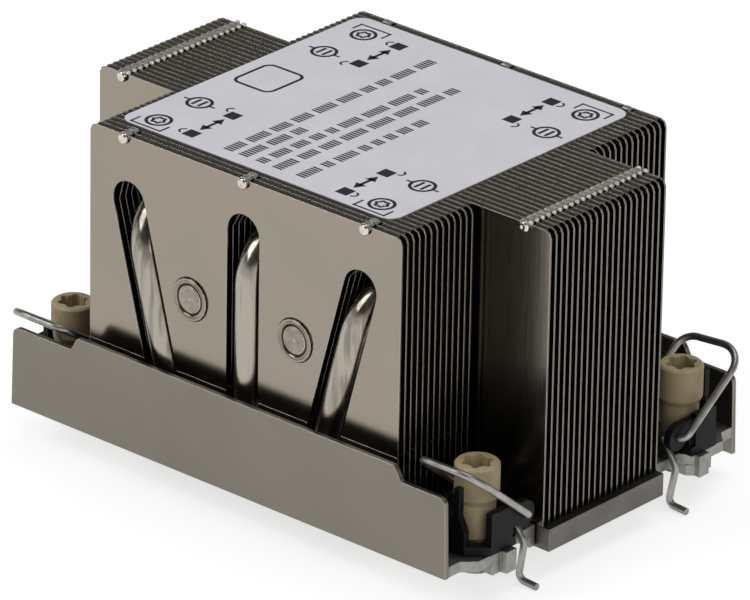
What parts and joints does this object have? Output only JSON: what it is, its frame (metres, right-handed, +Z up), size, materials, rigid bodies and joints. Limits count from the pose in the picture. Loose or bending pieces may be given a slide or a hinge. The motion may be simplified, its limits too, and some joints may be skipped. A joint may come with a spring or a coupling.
{
  "type": "passive server cpu heatsink",
  "caption": "Low passive server processor heatsink with a stepped stack of folded fins, bent heat pipes, side frames, captive nuts and swinging wire bails.",
  "frame": {"origin": "centre of the cold plate's lower face, which meets the processor", "axes": "+X along the airflow and the fins' length, +Y across the fins towards the rear side, +Z up away from the processor"},
  "size_m": [0.1104, 0.0774, 0.0648],
  "materials": {
    "fin_nickel": "thin nickel-finished fin sheet, warm satin",
    "pipe_nickel": "bright nickel-plated heat pipe",
    "base_metal": "machined grey metal",
    "cold_plate_copper": "fly-cut copper",
    "cast_frame": "brushed wall, as-cast ears",
    "screw_steel": "zinc-plated steel",
    "nut_polymer": "tan engineering polymer, satin",
    "washer_steel": "pale plated steel",
    "clip_steel": "dark spring steel",
    "holder_black": "black moulded plastic",
    "wire_steel": "drawn spring-steel wire",
    "label_sheet": "pale matte printed film"
  },
  "bodies": {
    "heatsink": {"contact_plate": "cold_plate_copper", "base_plate": "base_metal", "frame_front": "cast_frame", "frame_rear": "cast_frame", "frame_screws": "screw_steel", "fins_front": "fin_nickel", "fins_centre": "fin_nickel", "fins_rear": "fin_nickel", "label": "label_sheet", "heat_pipe_front_left": "pipe_nickel", "heat_pipe_front_mid": "pipe_nickel", "heat_pipe_front_right": "pipe_nickel", "heat_pipe_rear_left": "pipe_nickel", "heat_pipe_rear_right": "pipe_nickel", "nut_washer_fl": "washer_steel", "wire_holder_fl": "holder_black", "nut_washer_fr": "washer_steel", "wire_holder_fr": "holder_black", "nut_washer_rl": "washer_steel", "wire_holder_rl": "holder_black", "nut_washer_rr": "washer_steel", "wire_holder_rr": "holder_black"},
    "bail_fl": {"wire_bail_fl": "wire_steel"},
    "captive_nut_fl": {"nut_fl": "nut_polymer", "nut_clip_fl": "clip_steel"},
    "bail_fr": {"wire_bail_fr": "wire_steel"},
    "captive_nut_fr": {"nut_fr": "nut_polymer", "nut_clip_fr": "clip_steel"},
    "bail_rl": {"wire_bail_rl": "wire_steel"},
    "captive_nut_rl": {"nut_rl": "nut_polymer", "nut_clip_rl": "clip_steel"},
    "bail_rr": {"wire_bail_rr": "wire_steel"},
    "captive_nut_rr": {"nut_rr": "nut_polymer", "nut_clip_rr": "clip_steel"}
  },
  "joints": [
    {"name": "bail_fl_swing", "type": "hinge", "parent": "heatsink", "child": "bail_fl", "pos_m": [-0.0465, -0.0204, 0.01], "axis": [-1, 0, 0], "range_deg": [-0.5, 22.5]},
    {"name": "captive_nut_fl_turn", "type": "hinge", "parent": "heatsink", "child": "captive_nut_fl", "pos_m": [-0.047, -0.027, 0.0105], "axis": [0, 0, 1], "continuous": true},
    {"name": "bail_fr_swing", "type": "hinge", "parent": "heatsink", "child": "bail_fr", "pos_m": [0.0465, -0.0204, 0.01], "axis": [-1, 0, 0], "range_deg": [-7.5, 15.5]},
    {"name": "captive_nut_fr_turn", "type": "hinge", "parent": "heatsink", "child": "captive_nut_fr", "pos_m": [0.047, -0.027, 0.0105], "axis": [0, 0, 1], "continuous": true},
    {"name": "bail_rl_swing", "type": "hinge", "parent": "heatsink", "child": "bail_rl", "pos_m": [-0.0465, 0.0204, 0.01], "axis": [1, 0, 0], "range_deg": [-5, 18]},
    {"name": "captive_nut_rl_turn", "type": "hinge", "parent": "heatsink", "child": "captive_nut_rl", "pos_m": [-0.047, 0.027, 0.0105], "axis": [0, 0, 1], "continuous": true},
    {"name": "bail_rr_swing", "type": "hinge", "parent": "heatsink", "child": "bail_rr", "pos_m": [0.0465, 0.0204, 0.01], "axis": [1, 0, 0], "range_deg": [-5, 18]},
    {"name": "captive_nut_rr_turn", "type": "hinge", "parent": "heatsink", "child": "captive_nut_rr", "pos_m": [0.047, 0.027, 0.0105], "axis": [0, 0, 1], "continuous": true}
  ]
}
